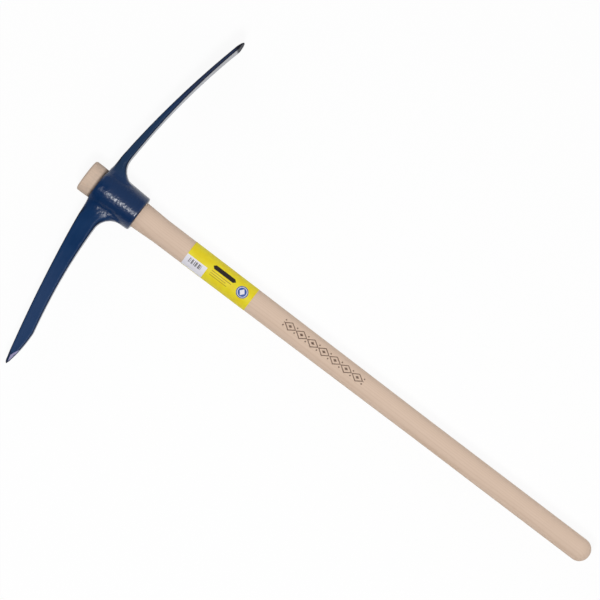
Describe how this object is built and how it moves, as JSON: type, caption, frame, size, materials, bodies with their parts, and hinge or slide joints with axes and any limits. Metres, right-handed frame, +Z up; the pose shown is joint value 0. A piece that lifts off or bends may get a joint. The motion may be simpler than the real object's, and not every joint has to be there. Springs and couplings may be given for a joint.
{
  "type": "pick axe",
  "caption": "Slip-eye pick axe: a forged head with a square pick point and a flat mattock blade, jammed on the tapered end of a turned wooden handle with a paper label.",
  "frame": {"origin": "under the middle of the tool's box, on the surface that the blade's lower corner touches when the tool lies on its side", "axes": "+X along the handle from the head to the butt, +Y towards the blade (the pick point is at -Y), +Z up, square to the plane of the head"},
  "size_m": [0.947, 0.6, 0.082],
  "materials": {
    "head_paint": "glossy dark blue enamel over a forged surface",
    "handle_wood": "smooth sanded pale hardwood, unvarnished",
    "label_paper": "satin printed paper"
  },
  "bodies": {
    "handle": {"handle": "handle_wood", "label": "label_paper"},
    "head": {"pick_head": "head_paint"}
  },
  "joints": [
    {"name": "head_slide", "type": "slide", "parent": "handle", "child": "head", "axis": [1, 0, 0], "range_m": [0, 0.95]}
  ]
}
